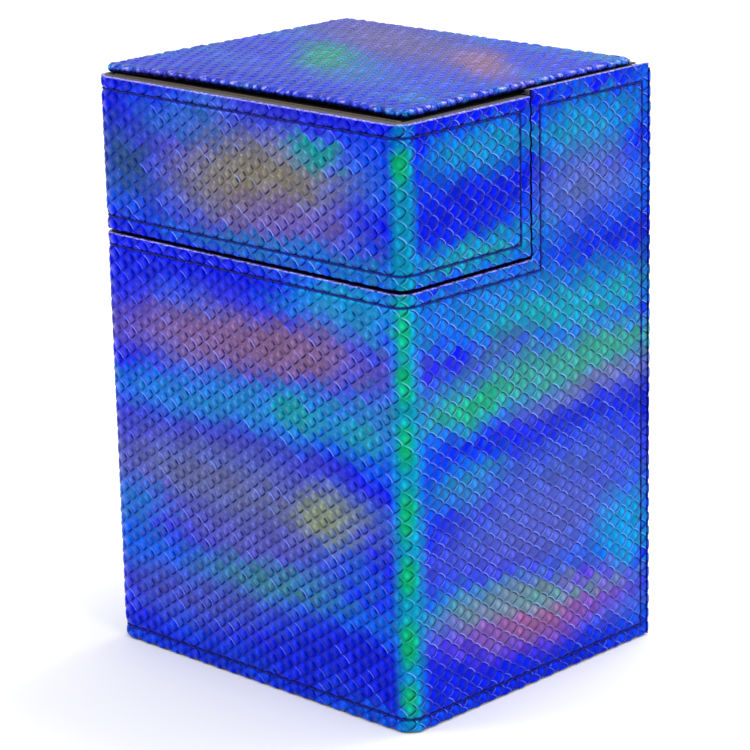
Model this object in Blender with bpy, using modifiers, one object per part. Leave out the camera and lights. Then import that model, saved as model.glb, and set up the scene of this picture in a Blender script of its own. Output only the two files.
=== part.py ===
"""Flip-top deck box for trading cards.

A rigid board box wrapped in scale-embossed leatherette.  The body is a tray with two tall rear
uprights, and an inner neck stands up out of it.  The lid is a skirt that closes over the neck, a
base sheet inside it and a turned-edge panel on top, hung on a flexible strip along the back wall.

The origin is the centre of the underside.  +Z is up, the front faces -Y and +X is to the right.
"""

import math

import bmesh
import bpy

# Outside size of the closed box.
WIDTH = 0.088
DEPTH = 0.076
HEIGHT = 0.127
CORNER_RADIUS = 0.004
ARC_STEPS = 8
WELD = 0.000001

# Air left between touching pieces, and the running clearance of the lid over the neck.
GAP = 0.0003
LID_CLEARANCE = 0.0004

# Thickness of each layer.
COVER = 0.0008
BODY_BOARD = 0.0016
LID_BOARD = 0.0008
LINING = 0.0004
NECK = 0.0012
FLOOR_PAD = 0.0010
LID_BASE = 0.0014
TOP_BOARD = 0.0006
TOP_COVER = 0.0004
HINGE_STRIP = 0.0003

# Heights of the edges above the surface that the box stands on.
SHOULDER = 0.0911
SKIRT_BOTTOM = 0.0920
SKIRT_TOP = 0.1245
WALL_TOP = 0.1248
NECK_TOP = 0.1220
LID_BASE_TOP = 0.1246

# The vertical cut between the lid's skirt and the uprights, along Y.
SKIRT_REAR = -0.0002
UPRIGHT_FRONT = 0.0003

# The panel on top, and how far it stands back from the outer faces.
PANEL_BOTTOM = 0.1257
PANEL_SIDE_RECESS = 0.0028
PANEL_FRONT_RECESS = 0.0046
PANEL_REAR = 0.0354
PANEL_RADIUS = 0.0035
PANEL_REAR_RADIUS = 0.0006
PANEL_EDGE = 0.0006
PANEL_ROLL = 0.0004

# The hinge strip and the line that it bends on.
HINGE_Y = 0.0362
HINGE_Z = 0.12525
STRIP_FRONT = 0.0280
STRIP_REAR = 0.0376
STRIP_HALF_WIDTH = 0.0400

# The two pairs of magnets that hold the lid shut.
MAGNET_RADIUS = 0.0050
MAGNET_X = 0.0220
MAGNET_Z = 0.1010
NECK_MAGNET = 0.0006
MAGNET_SIDES = 40

HALF_WIDTH = WIDTH / 2
FRONT = -DEPTH / 2
REAR = DEPTH / 2

# Depth of each layer's outer side below the outer face.
BOARD_AT = COVER + GAP
NECK_AT = BOARD_AT + BODY_BOARD + GAP
LINING_AT = BOARD_AT + LID_BOARD + GAP
LID_BASE_AT = LINING_AT + LINING + 2 * GAP

# Heights of the layers in the floor.
FLOOR_BOARD_Z = COVER + GAP
NECK_Z = FLOOR_BOARD_Z + BODY_BOARD + GAP

LEATHERETTE = ("embossed_leatherette", (0.004, 0.030, 0.750), 0.34, 0.35)
GREYBOARD = ("greyboard", (0.240, 0.230, 0.220), 0.90, 0.0)
SUEDE = ("black_microfibre", (0.012, 0.012, 0.014), 0.95, 0.0)
NICKEL = ("nickel_plate", (0.620, 0.600, 0.570), 0.25, 1.0)


def clear_scene():
    for item in list(bpy.data.objects):
        bpy.data.objects.remove(item, do_unlink=True)


def make_collection(name):
    collection = bpy.data.collections.new(name)
    bpy.context.scene.collection.children.link(collection)
    return collection


def finish_object(item, collection, finish, parent):
    """Give an object its own material, its collection and its parent."""
    name, colour, roughness, metallic = finish
    material = bpy.data.materials.new(f"{item.name}_{name}")
    material.use_nodes = True
    shader = material.node_tree.nodes["Principled BSDF"]
    shader.inputs["Base Color"].default_value = (*colour, 1.0)
    shader.inputs["Roughness"].default_value = roughness
    shader.inputs["Metallic"].default_value = metallic
    item.data.materials.append(material)
    collection.objects.link(item)
    if parent is not None:
        item.parent = parent
        item.location -= parent.location
    return item


def box(name, low, high, group, finish, parent=None):
    """A sheet or board given by its lowest and highest corners."""
    bm = bmesh.new()
    bmesh.ops.create_cube(bm, size=1.0)
    bmesh.ops.scale(bm, vec=[b - a for a, b in zip(low, high)], verts=bm.verts)
    mesh = bpy.data.meshes.new(name)
    bm.to_mesh(mesh)
    bm.free()
    item = bpy.data.objects.new(name, mesh)
    item.location = [(a + b) / 2 for a, b in zip(low, high)]
    return finish_object(item, group, finish, parent)


def arc(centre, radius, start, end):
    """Points of an arc about centre, from one angle in degrees to another."""
    if radius <= 0:
        return [centre]
    points = []
    for step in range(ARC_STEPS + 1):
        angle = math.radians(start + (end - start) * step / ARC_STEPS)
        points.append((centre[0] + radius * math.cos(angle), centre[1] + radius * math.sin(angle)))
    return points


def plan_outline(half_width, front, rear, front_radius, rear_radius=0.0):
    """A plan outline, anticlockwise from the front left, with its own front and rear corners."""
    left, right = -half_width, half_width
    fr, rr = front_radius, rear_radius
    return (
        arc((left + fr, front + fr), fr, 180, 270)
        + arc((right - fr, front + fr), fr, 270, 360)
        + arc((right - rr, rear - rr), rr, 0, 90)
        + arc((left + rr, rear - rr), rr, 90, 180)
    )


def plate(name, outline, thickness, location, group, finish, parent=None, rotation=(0, 0, 0)):
    """A flat sheet cut to an outline, centred on its own thickness."""
    curve = bpy.data.curves.new(name, "CURVE")
    curve.dimensions = "2D"
    curve.fill_mode = "BOTH"
    curve.extrude = thickness / 2
    spline = curve.splines.new("POLY")
    spline.points.add(len(outline) - 1)
    for point, (x, y) in zip(spline.points, outline):
        point.co = (x, y, 0.0, 1.0)
    spline.use_cyclic_u = True
    item = bpy.data.objects.new(name, curve)
    item.location = location
    item.rotation_euler = rotation
    return finish_object(item, group, finish, parent)


def level_plate(name, outline, low, thickness, group, finish, parent=None):
    """A horizontal sheet whose underside is at the height low."""
    return plate(name, outline, thickness, (0, 0, low + thickness / 2), group, finish, parent)


def wrap_path(inset, rear):
    """Plan path of a wall's outer side: left rear, round the front corners, to the right rear."""
    side = HALF_WIDTH - inset
    front = FRONT + inset
    radius = CORNER_RADIUS - inset
    left_corner = arc((-side + radius, front + radius), radius, 180, 270)
    right_corner = arc((side - radius, front + radius), radius, 270, 360)
    return [(-side, rear)] + left_corner + right_corner + [(side, rear)]


def wrapped_sheet(name, path, low, high, thickness, group, finish, parent=None):
    """A sheet that wraps three sides: a strip along the path, thickened inwards."""
    bm = bmesh.new()
    chain = [bm.verts.new((x, y, 0.0)) for x, y in path]
    edges = [bm.edges.new(pair) for pair in zip(chain, chain[1:])]
    raised = bmesh.ops.extrude_edge_only(bm, edges=edges)["geom"]
    top = [part for part in raised if isinstance(part, bmesh.types.BMVert)]
    bmesh.ops.translate(bm, vec=(0, 0, high - low), verts=top)
    mesh = bpy.data.meshes.new(name)
    bm.to_mesh(mesh)
    bm.free()
    item = bpy.data.objects.new(name, mesh)
    item.location = (0, 0, low)
    thicken = item.modifiers.new("thickness", "SOLIDIFY")
    thicken.thickness = thickness
    thicken.offset = 1.0
    thicken.use_even_offset = True
    return finish_object(item, group, finish, parent)


def cut(item, cutter):
    boolean = item.modifiers.new(f"cut_{cutter.name}", "BOOLEAN")
    boolean.operation = "DIFFERENCE"
    boolean.object = cutter


def hide_cutter(item):
    item.hide_render = True
    item.display_type = "WIRE"
    return item


def disc(name, radius, thickness, location, group, finish, parent=None):
    """A round disc that faces the front."""
    bm = bmesh.new()
    bmesh.ops.create_cone(
        bm, cap_ends=True, segments=MAGNET_SIDES, radius1=radius, radius2=radius, depth=thickness
    )
    mesh = bpy.data.meshes.new(name)
    bm.to_mesh(mesh)
    bm.free()
    mesh.shade_smooth()
    mesh.set_sharp_from_angle(angle=math.radians(40))
    item = bpy.data.objects.new(name, mesh)
    item.location = location
    item.rotation_euler = (math.radians(90), 0, 0)
    return finish_object(item, group, finish, parent)


def side_name(side):
    return "left" if side < 0 else "right"


def build_floor(parts):
    """The wrapped underside, the stiff board above it and the soft pad that cards stand on."""
    level_plate(
        "base_cover", plan_outline(HALF_WIDTH, FRONT, REAR, CORNER_RADIUS), 0.0, COVER, parts, LEATHERETTE
    )
    half_width = HALF_WIDTH - NECK_AT
    half_depth = REAR - NECK_AT
    box(
        "base_board",
        (-half_width, -half_depth, FLOOR_BOARD_Z),
        (half_width, half_depth, FLOOR_BOARD_Z + BODY_BOARD),
        parts,
        GREYBOARD,
    )
    half_width -= NECK + GAP
    half_depth -= NECK + GAP
    box(
        "floor_pad",
        (-half_width, -half_depth, NECK_Z),
        (half_width, half_depth, NECK_Z + FLOOR_PAD),
        parts,
        SUEDE,
    )


def build_body_cover(parts, cutters):
    """One wrap round the front and sides, cut down to the shoulder ahead of the uprights."""
    cover = wrapped_sheet(
        "body_cover", wrap_path(0.0, REAR - COVER - GAP), FLOOR_BOARD_Z, WALL_TOP, COVER, parts, LEATHERETTE
    )
    notch = box(
        "lid_notch",
        (-WIDTH, -DEPTH, SHOULDER),
        (WIDTH, UPRIGHT_FRONT, HEIGHT),
        cutters,
        GREYBOARD,
    )
    cut(cover, hide_cutter(notch))


def build_back(parts):
    box(
        "back_cover",
        (-HALF_WIDTH, REAR - COVER, FLOOR_BOARD_Z),
        (HALF_WIDTH, REAR, WALL_TOP),
        parts,
        LEATHERETTE,
    )
    half_width = HALF_WIDTH - BOARD_AT
    box(
        "back_board",
        (-half_width, REAR - BOARD_AT - BODY_BOARD, FLOOR_BOARD_Z),
        (half_width, REAR - BOARD_AT, WALL_TOP),
        parts,
        GREYBOARD,
    )


def build_wall_boards(parts):
    """The stiff front board, and the side boards that rise into the uprights."""
    half_width = HALF_WIDTH - CORNER_RADIUS
    front = FRONT + BOARD_AT
    box(
        "front_board",
        (-half_width, front, FLOOR_BOARD_Z),
        (half_width, front + BODY_BOARD, SHOULDER),
        parts,
        GREYBOARD,
    )
    board_front = FRONT + CORNER_RADIUS
    board_rear = REAR - BOARD_AT - BODY_BOARD - GAP
    outline = [
        (board_front, FLOOR_BOARD_Z),
        (board_rear, FLOOR_BOARD_Z),
        (board_rear, WALL_TOP),
        (UPRIGHT_FRONT, WALL_TOP),
        (UPRIGHT_FRONT, SHOULDER),
        (board_front, SHOULDER),
    ]
    for side in (-1, 1):
        plate(
            f"{side_name(side)}_board",
            outline,
            BODY_BOARD,
            (side * (HALF_WIDTH - BOARD_AT - BODY_BOARD / 2), 0, 0),
            parts,
            GREYBOARD,
            rotation=(math.radians(90), 0, math.radians(90)),
        )


def magnet_cutter(name, thickness, y, cutters):
    """Two round pockets, one at each magnet, with the gap all round."""
    pockets = []
    for side in (-1, 1):
        pocket = disc(
            f"{name}_{side_name(side)}",
            MAGNET_RADIUS + GAP,
            thickness,
            (side * MAGNET_X, y, MAGNET_Z),
            cutters,
            NICKEL,
        )
        pockets.append(hide_cutter(pocket))
    return pockets


def build_neck(parts, cutters):
    """Four lined sheets that stand up out of the body and guide the lid and the cards."""
    outer_x = HALF_WIDTH - NECK_AT
    outer_y = REAR - NECK_AT
    inner_x = outer_x - NECK
    inner_y = outer_y - NECK
    for side in (-1, 1):
        low_x, high_x = sorted((side * inner_x, side * outer_x))
        box(
            f"neck_{side_name(side)}",
            (low_x, -outer_y, NECK_Z),
            (high_x, outer_y, NECK_TOP),
            parts,
            SUEDE,
        )
    half_width = inner_x - GAP
    front = box(
        "neck_front",
        (-half_width, -outer_y, NECK_Z),
        (half_width, -inner_y, NECK_TOP),
        parts,
        SUEDE,
    )
    box(
        "neck_back",
        (-half_width, inner_y, NECK_Z),
        (half_width, outer_y, LID_BASE_TOP),
        parts,
        SUEDE,
    )
    pocket_depth = NECK_MAGNET + GAP
    for pocket in magnet_cutter("neck_pocket", 2 * pocket_depth, -outer_y, cutters):
        cut(front, pocket)
    for side in (-1, 1):
        disc(
            f"neck_magnet_{side_name(side)}",
            MAGNET_RADIUS,
            NECK_MAGNET,
            (side * MAGNET_X, -outer_y + NECK_MAGNET / 2, MAGNET_Z),
            parts,
            NICKEL,
        )


def build_lid_skirt(parts, cutters, pivot):
    """The band round the neck: an outer cover, three boards and a lining."""
    wrapped_sheet(
        "lid_skirt_cover",
        wrap_path(0.0, SKIRT_REAR),
        SKIRT_BOTTOM,
        SKIRT_TOP,
        COVER,
        parts,
        LEATHERETTE,
        pivot,
    )
    wrapped_sheet(
        "lid_skirt_lining",
        wrap_path(LINING_AT, SKIRT_REAR),
        SKIRT_BOTTOM,
        SKIRT_TOP,
        LINING,
        parts,
        SUEDE,
        pivot,
    )
    half_width = HALF_WIDTH - CORNER_RADIUS
    board_y = FRONT + BOARD_AT
    front = box(
        "lid_front_board",
        (-half_width, board_y, SKIRT_BOTTOM),
        (half_width, board_y + LID_BOARD, SKIRT_TOP),
        parts,
        GREYBOARD,
        pivot,
    )
    magnet_y = board_y + LID_BOARD / 2
    for pocket in magnet_cutter("lid_pocket", 2 * LID_BOARD, magnet_y, cutters):
        cut(front, pocket)
    for side in (-1, 1):
        disc(
            f"lid_magnet_{side_name(side)}",
            MAGNET_RADIUS,
            LID_BOARD,
            (side * MAGNET_X, magnet_y, MAGNET_Z),
            parts,
            NICKEL,
            pivot,
        )
        outer = HALF_WIDTH - BOARD_AT
        low_x, high_x = sorted((side * outer, side * (outer - LID_BOARD)))
        box(
            f"lid_{side_name(side)}_board",
            (low_x, FRONT + CORNER_RADIUS, SKIRT_BOTTOM),
            (high_x, SKIRT_REAR, SKIRT_TOP),
            parts,
            GREYBOARD,
            pivot,
        )


def build_lid_base(parts, pivot):
    """The sheet inside the skirt's top edge, and the lining under it."""
    half_width = HALF_WIDTH - LID_BASE_AT
    front = FRONT + LID_BASE_AT
    rear = REAR - NECK_AT - NECK - LID_CLEARANCE
    low = LID_BASE_TOP - LID_BASE
    box("lid_base", (-half_width, front, low), (half_width, rear, LID_BASE_TOP), parts, GREYBOARD, pivot)
    high = low - GAP
    box(
        "lid_base_lining",
        (-half_width, front, high - LINING),
        (half_width, rear, high),
        parts,
        SUEDE,
        pivot,
    )


def weld_outline(item):
    """Turn a filled outline into a welded mesh with the same name and place."""
    name = item.name
    group = item.users_collection[0]
    parent = item.parent
    bpy.context.view_layer.update()
    place = item.matrix_world.copy()
    depsgraph = bpy.context.evaluated_depsgraph_get()
    mesh = bpy.data.meshes.new_from_object(item.evaluated_get(depsgraph))
    bm = bmesh.new()
    bm.from_mesh(mesh)
    bmesh.ops.remove_doubles(bm, verts=bm.verts, dist=WELD)
    bm.to_mesh(mesh)
    bm.free()
    bpy.data.objects.remove(item, do_unlink=True)
    solid = bpy.data.objects.new(name, mesh)
    group.objects.link(solid)
    solid.parent = parent
    solid.matrix_world = place
    return solid


def build_top_panel(parts, cutters, pivot):
    """The separate panel on top: a board with the leatherette turned down over its edges."""
    half_width = HALF_WIDTH - PANEL_SIDE_RECESS
    front = FRONT + PANEL_FRONT_RECESS

    def inset_outline(inset):
        return plan_outline(
            half_width - inset,
            front + inset,
            PANEL_REAR - inset,
            PANEL_RADIUS - inset,
            max(PANEL_REAR_RADIUS - inset, 0.0),
        )

    board = inset_outline(PANEL_EDGE + GAP)
    level_plate("top_board", board, PANEL_BOTTOM, TOP_BOARD, parts, GREYBOARD, pivot)

    cover = weld_outline(
        level_plate(
            "top_cover",
            inset_outline(0.0),
            PANEL_BOTTOM,
            HEIGHT - PANEL_BOTTOM,
            parts,
            LEATHERETTE,
            pivot,
        )
    )
    edge = cover.modifiers.new("rolled_edge", "BEVEL")
    edge.width = PANEL_ROLL
    edge.segments = 3
    edge.limit_method = "ANGLE"
    edge.angle_limit = math.radians(50)
    depth = HEIGHT - TOP_COVER - PANEL_BOTTOM
    hollow = weld_outline(
        level_plate(
            "panel_hollow",
            inset_outline(PANEL_EDGE),
            PANEL_BOTTOM - depth,
            2 * depth,
            cutters,
            GREYBOARD,
        )
    )
    cut(cover, hide_cutter(hollow))


def build_hinge_strip(parts):
    """The flexible strip over the back wall that the lid turns on."""
    low = HINGE_Z - HINGE_STRIP / 2
    box(
        "hinge_strip",
        (-STRIP_HALF_WIDTH, STRIP_FRONT, low),
        (STRIP_HALF_WIDTH, STRIP_REAR, low + HINGE_STRIP),
        parts,
        LEATHERETTE,
    )


def build_deck_box():
    clear_scene()
    parts = make_collection("card_deck_box")
    cutters = make_collection("cutters")
    pivot = bpy.data.objects.new("lid_pivot", None)
    pivot.location = (0, HINGE_Y, HINGE_Z)
    parts.objects.link(pivot)
    build_floor(parts)
    build_body_cover(parts, cutters)
    build_back(parts)
    build_wall_boards(parts)
    build_neck(parts, cutters)
    build_hinge_strip(parts)
    build_lid_skirt(parts, cutters, pivot)
    build_lid_base(parts, pivot)
    build_top_panel(parts, cutters, pivot)


build_deck_box()
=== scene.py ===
"""Looks of the flip-top card deck box.

The box is covered with holographic blue leatherette, embossed with small overlapping scales.  Each
cover is cut flat on the table, embossed, and then wrapped round its board, as a box maker does it.
"""

import math

import bmesh
import bpy
import numpy as np
from mathutils import Matrix, Vector


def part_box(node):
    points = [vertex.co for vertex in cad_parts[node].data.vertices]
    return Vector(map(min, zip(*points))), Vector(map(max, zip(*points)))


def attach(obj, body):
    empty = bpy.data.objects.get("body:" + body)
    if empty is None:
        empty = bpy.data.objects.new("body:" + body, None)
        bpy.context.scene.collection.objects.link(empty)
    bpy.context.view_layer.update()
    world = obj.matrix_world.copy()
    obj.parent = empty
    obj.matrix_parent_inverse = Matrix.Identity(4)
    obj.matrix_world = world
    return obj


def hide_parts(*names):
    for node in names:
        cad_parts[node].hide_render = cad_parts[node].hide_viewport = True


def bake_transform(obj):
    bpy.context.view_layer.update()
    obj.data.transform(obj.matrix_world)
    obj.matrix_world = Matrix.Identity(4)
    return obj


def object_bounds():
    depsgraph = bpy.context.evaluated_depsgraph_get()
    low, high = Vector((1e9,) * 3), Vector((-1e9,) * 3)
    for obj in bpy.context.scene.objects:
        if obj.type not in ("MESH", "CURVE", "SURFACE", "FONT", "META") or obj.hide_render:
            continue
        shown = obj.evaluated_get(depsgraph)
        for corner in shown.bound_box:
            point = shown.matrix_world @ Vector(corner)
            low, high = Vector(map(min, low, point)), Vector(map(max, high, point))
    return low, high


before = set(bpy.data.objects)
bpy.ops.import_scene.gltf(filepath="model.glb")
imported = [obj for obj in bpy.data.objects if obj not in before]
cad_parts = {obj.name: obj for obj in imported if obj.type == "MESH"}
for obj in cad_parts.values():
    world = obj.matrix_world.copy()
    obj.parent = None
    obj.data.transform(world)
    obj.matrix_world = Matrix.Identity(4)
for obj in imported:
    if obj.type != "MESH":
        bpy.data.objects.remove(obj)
CAD_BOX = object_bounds()

bl_info = {
    "name": "Card Deck Box",
    "version": (1, 0, 0),
    "blender": (4, 5, 0),
    "location": "View3D > Sidebar > Deck Box",
    "description": "Covers, stitches and lines a flip-top card deck box",
    "category": "Add Mesh",
}

MM = 0.001


def millimetres(corner):
    return np.array(corner) / MM


# Places of the box's edges, in millimetres, read from the frame.
BOX_LOW, BOX_HIGH = (millimetres(corner) for corner in CAD_BOX)
SKIRT_LOW, SKIRT_HIGH = (millimetres(corner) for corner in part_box("lid_skirt_cover"))
BODY_LOW, BODY_HIGH = (millimetres(corner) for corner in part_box("body_cover"))
FRONT_BOARD_HIGH = millimetres(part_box("front_board")[1])
UPRIGHT_FRONT = float(
    min(
        vertex.co.y / MM
        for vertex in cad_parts["body_cover"].data.vertices
        if vertex.co.z / MM > BODY_HIGH[2] - 1
    )
)
HALF_WIDTH = float(BOX_HIGH[0])
FRONT = float(BOX_LOW[1])
REAR = float(BOX_HIGH[1])
WALL_TOP = float(BODY_HIGH[2])
SHOULDER = float(FRONT_BOARD_HIGH[2])
SKIRT_BOTTOM = float(SKIRT_LOW[2])
SKIRT_TOP = float(SKIRT_HIGH[2])
SKIRT_REAR = float(SKIRT_HIGH[1])

# The walls are wrapped along one path: left side, front and right side.
CORNER = 4.0
BOW = 0.13  # how far the free edges of a scale bow out, as a share of the scale
SIDE_RUN = REAR - FRONT - CORNER
CORNER_RUN = CORNER * math.pi / 2
FRONT_RUN = 2 * (HALF_WIDTH - CORNER)
LEFT_END = SIDE_RUN
FRONT_START = LEFT_END + CORNER_RUN
FRONT_END = FRONT_START + FRONT_RUN
RIGHT_START = FRONT_END + CORNER_RUN
WRAP_END = RIGHT_START + SIDE_RUN
FOOT = 0.15  # the covers stop this far above the table
PAST = 9.0  # an edge that meets the next sheet is taken this far on, so that it is not rounded
SPREAD = 1.75  # a sheen fades to nothing at this many times its half size


class DeckBoxSizes(bpy.types.PropertyGroup):
    """Sizes of the leatherette, the thread and the raw edges."""

    scale_width: bpy.props.FloatProperty(
        name="Scale width", description="Width of one embossed scale", default=0.00445, unit="LENGTH"
    )
    scale_height: bpy.props.FloatProperty(
        name="Scale height", description="Height of one embossed scale", default=0.0032, unit="LENGTH"
    )
    relief: bpy.props.FloatProperty(
        name="Relief", description="Depth of the embossing", default=0.00026, unit="LENGTH"
    )
    divisions: bpy.props.IntProperty(
        name="Divisions", description="Mesh steps across one scale", default=10, min=4, max=12
    )
    cover: bpy.props.FloatProperty(
        name="Cover", description="Thickness of the leatherette", default=0.0008, unit="LENGTH"
    )
    stitch_margin: bpy.props.FloatProperty(
        name="Stitch margin", description="From an edge to its stitches", default=0.0027, unit="LENGTH"
    )
    stitch_pitch: bpy.props.FloatProperty(
        name="Stitch pitch", description="Length of one stitch", default=0.0026, unit="LENGTH"
    )
    thread: bpy.props.FloatProperty(
        name="Thread", description="Diameter of the sewing thread", default=0.00042, unit="LENGTH"
    )


class DeckBoxColours(bpy.types.PropertyGroup):
    """Colours of the finishes, as sRGB hex values."""

    deep: bpy.props.StringProperty(name="Deep blue", description="Ground colour", default="#0418F0")
    azure: bpy.props.StringProperty(name="Azure", description="Lighter ground", default="#0A62F0")
    thread: bpy.props.StringProperty(name="Thread", description="Sewing thread", default="#0A1266")
    edge: bpy.props.StringProperty(name="Edge paint", description="Painted raw edges", default="#504E52")
    film: bpy.props.StringProperty(name="Cut film", description="Cut edge of the film", default="#B3A6EA")
    suede: bpy.props.StringProperty(name="Lining", description="Suede lining", default="#101012")
    board: bpy.props.StringProperty(name="Board", description="Grey board", default="#7C7871")


def sizes():
    return bpy.context.scene.deck_box_sizes


def colours():
    return bpy.context.scene.deck_box_colours


def to_linear(code):
    """Turn an sRGB hex value into linear red, green, blue and alpha."""
    channels = [int(code[i : i + 2], 16) / 255 for i in (1, 3, 5)]
    return [c / 12.92 if c <= 0.04045 else ((c + 0.055) / 1.055) ** 2.4 for c in channels] + [1.0]


# ---------------------------------------------------------------------------------------------
# Flat sheets, and how they are laid on the box
# ---------------------------------------------------------------------------------------------


def smooth_step(value, low, high):
    share = np.clip((value - low) / (high - low), 0, 1)
    return share * share * (3 - 2 * share)


def on_wall(s, t, n):
    """Wrap flat coordinates round the walls: s along them, t up and n outwards."""
    turned = np.clip((s - LEFT_END) / CORNER_RUN, 0, 1) + np.clip((s - FRONT_END) / CORNER_RUN, 0, 1)
    angle = turned * math.pi / 2
    left_run = np.minimum(s, LEFT_END)
    front_run = np.clip(s - FRONT_START, 0, FRONT_RUN)
    right_run = np.maximum(s - RIGHT_START, 0)
    reach = CORNER + n
    x = CORNER - HALF_WIDTH + front_run - reach * np.cos(angle)
    y = REAR - left_run + right_run - reach * np.sin(angle)
    return np.stack([x, y, t], axis=-1)


def on_back(s, t, n):
    """Lay flat coordinates on the back: s runs on from the right side, t is up, n outwards."""
    return np.stack([HALF_WIDTH - (s - WRAP_END), REAR + n, t], axis=-1)


def scale_coordinates(s, t):
    """Count the scales along both diagonals, with the slight wander of a pressed pattern.

    The scales point along s.  Their two free edges, at the high end of a and the low end of b, bow
    outwards.
    """
    width = sizes().scale_width / MM
    height = sizes().scale_height / MM
    wander = 0.35 * np.sin(s / 9.1 + 0.7 * np.sin(t / 12.3)) + 0.2 * np.sin(t / 4.3 + s / 17.0)
    across = (s + wander) / width
    down = -(t + 0.25 * np.sin(s / 6.7 - t / 15.0)) / height
    a, b = down + across, down - across
    part_a, part_b = np.mod(a, 1), np.mod(b, 1)
    return a - BOW * 4 * part_b * (1 - part_b), b + BOW * 4 * part_a * (1 - part_a)


def tile_noise(a, b):
    """A steady random number from 0 to 1 for each scale."""
    return np.modf(np.abs(np.sin(np.floor(a) * 12.9898 + np.floor(b) * 78.233) * 43758.5453))[0]


def scale_height(a, b):
    """Each scale swells from its root and drops sharply at its two free edges."""
    along, back = np.mod(a, 1), 1 - np.mod(b, 1)
    rise_a = smooth_step(along, 0.0, 0.55) * (1 - smooth_step(along, 0.84, 1.0))
    rise_b = smooth_step(back, 0.0, 0.55) * (1 - smooth_step(back, 0.84, 1.0))
    return rise_a * rise_b * (0.75 + 0.4 * tile_noise(a, b))


def segment_distance(s, t, line):
    (s0, t0), (s1, t1) = line
    length = math.hypot(s1 - s0, t1 - t0)
    along = np.clip(((s - s0) * (s1 - s0) + (t - t0) * (t1 - t0)) / length**2, 0, 1)
    return np.hypot(s - s0 - along * (s1 - s0), t - t0 - along * (t1 - t0))


def new_piece(name):
    piece = bpy.context.active_object
    piece.name = name
    piece.data.name = name
    return piece


def select_only(piece):
    bpy.ops.object.select_all(action="DESELECT")
    piece.select_set(True)
    bpy.context.view_layer.objects.active = piece


def cut_flat(name, low, high, notches=(), folds=()):
    """Cut one sheet: a finely divided front, a rim of its thickness and a plain back.

    A notch is a rectangle left out of the sheet.  A fold is a place along s where the back gets a
    crease, so that it can follow a rounded corner.
    """
    bpy.ops.object.select_all(action="DESELECT")
    length, height = high[0] - low[0], high[1] - low[1]
    steps = sizes().divisions
    columns = max(2, round(length / (sizes().scale_width / MM) * steps))
    rows = max(2, round(height / (sizes().scale_height / MM) * steps))
    bpy.ops.mesh.primitive_grid_add(x_subdivisions=columns, y_subdivisions=rows, size=1)
    sheet = new_piece(name)
    sheet.scale = (length, height, 1)
    sheet.location = ((low[0] + high[0]) / 2, (low[1] + high[1]) / 2, 0)
    bpy.ops.object.transform_apply(location=True, scale=True)
    for notch_low, notch_high in notches:
        snap_to(sheet, 0, notch_low[0], notch_high[0])
        snap_to(sheet, 1, notch_low[1], notch_high[1])
    bpy.ops.object.mode_set(mode="EDIT")
    for notch_low, notch_high in notches:
        bpy.ops.mesh.select_all(action="DESELECT")
        bm = bmesh.from_edit_mesh(sheet.data)
        for face in bm.faces:
            middle = face.calc_center_median()
            inside = notch_low[0] < middle.x < notch_high[0] and notch_low[1] < middle.y < notch_high[1]
            face.select_set(inside)
        bmesh.update_edit_mesh(sheet.data)
        bpy.ops.mesh.delete(type="FACE")
    bpy.ops.mesh.select_all(action="SELECT")
    bpy.ops.mesh.region_to_loop()
    bpy.ops.mesh.extrude_region_move(TRANSFORM_OT_translate={"value": (0, 0, -sizes().cover / MM)})
    bpy.ops.mesh.edge_face_add()
    for fold in folds:
        bpy.ops.mesh.bisect(plane_co=(fold, 0, 0), plane_no=(1, 0, 0))
        bm = bmesh.from_edit_mesh(sheet.data)
        for face in bm.faces:
            face.select_set(face.normal.z < -0.5)
        bmesh.update_edit_mesh(sheet.data)
    bpy.ops.object.mode_set(mode="OBJECT")
    return sheet


def snap_to(sheet, axis, *places):
    """Move the nearest row or column of points to each place that lies inside the sheet."""
    co = read_points(sheet.data)
    lines = np.unique(np.round(co[:, axis], 4))
    for place in places:
        nearest = lines[np.argmin(np.abs(lines - place))]
        if abs(nearest - place) < 1.0:
            co[np.abs(co[:, axis] - nearest) < 1e-3, axis] = place
    write_points(sheet.data, co)


def read_points(mesh):
    co = np.empty(len(mesh.vertices) * 3)
    mesh.vertices.foreach_get("co", co)
    return co.reshape(-1, 3)


def write_points(mesh, co):
    mesh.vertices.foreach_set("co", np.asarray(co, float).ravel())
    mesh.update()


def keep_map(mesh, name, u, v):
    """Keep a pair of numbers at each point as a UV map."""
    corner = np.empty(len(mesh.loops), int)
    mesh.loops.foreach_get("vertex_index", corner)
    layer = mesh.uv_layers.get(name) or mesh.uv_layers.new(name=name)
    layer.uv.foreach_set("vector", np.stack([u[corner], v[corner]], axis=-1).ravel())


def rectangle(low, high):
    return [(low[0], low[1]), (high[0], low[1]), (high[0], high[1]), (low[0], high[1])]


def edges_of(corners):
    return list(zip(corners, corners[1:] + corners[:1]))


def rim_distance(s, t, outline):
    """How far each point of a sheet lies inside its outline, a closed run of corners."""
    return np.min([segment_distance(s, t, edge) for edge in edges_of(outline)], axis=0)


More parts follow.
